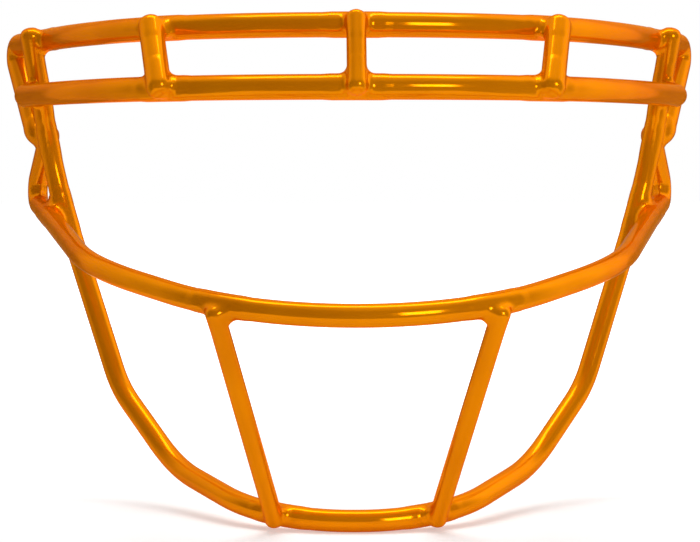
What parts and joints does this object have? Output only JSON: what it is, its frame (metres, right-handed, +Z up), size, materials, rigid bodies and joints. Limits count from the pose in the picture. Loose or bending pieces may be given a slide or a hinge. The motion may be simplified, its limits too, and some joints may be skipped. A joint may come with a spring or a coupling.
{
  "type": "football helmet facemask",
  "caption": "Coated steel wire face guard for a football helmet, bent and welded into a cage over brow, mouth and chin.",
  "frame": {"origin": "middle plane, on the axis of the lower brow wire at its front", "axes": "+X to the right of somebody facing the mask, -Y forward out of the helmet, +Z up; both brow wires lie level"},
  "size_m": [0.2292, 0.1605, 0.1495],
  "materials": {
    "orange_coat": "gloss"
  },
  "bodies": {
    "root": {"brow_lower_wire": "orange_coat", "brow_strut_centre": "orange_coat", "brow_strut_left": "orange_coat", "brow_strut_right": "orange_coat", "brow_top_wire": "orange_coat", "chin_side_wire": "orange_coat", "mouth_strut_left": "orange_coat", "mouth_strut_right": "orange_coat", "mouth_upper_wire": "orange_coat", "weld_brow_strut_centre_foot": "orange_coat", "weld_brow_strut_centre_top": "orange_coat", "weld_brow_strut_foot_left": "orange_coat", "weld_brow_strut_foot_right": "orange_coat", "weld_brow_strut_top_left": "orange_coat", "weld_brow_strut_top_right": "orange_coat", "weld_chin_wire_to_brow_lower_left": "orange_coat", "weld_chin_wire_to_brow_lower_right": "orange_coat", "weld_chin_wire_to_brow_top_left": "orange_coat", "weld_chin_wire_to_brow_top_right": "orange_coat", "weld_mouth_strut_foot_left": "orange_coat", "weld_mouth_strut_foot_right": "orange_coat", "weld_mouth_strut_top_left": "orange_coat", "weld_mouth_strut_top_right": "orange_coat", "weld_mouth_wire_to_chin_wire_left": "orange_coat", "weld_mouth_wire_to_chin_wire_right": "orange_coat", "weld_rear_of_brow_chin_and_mouth_wires_left": "orange_coat", "weld_rear_of_brow_chin_and_mouth_wires_right": "orange_coat"}
  },
  "joints": []
}
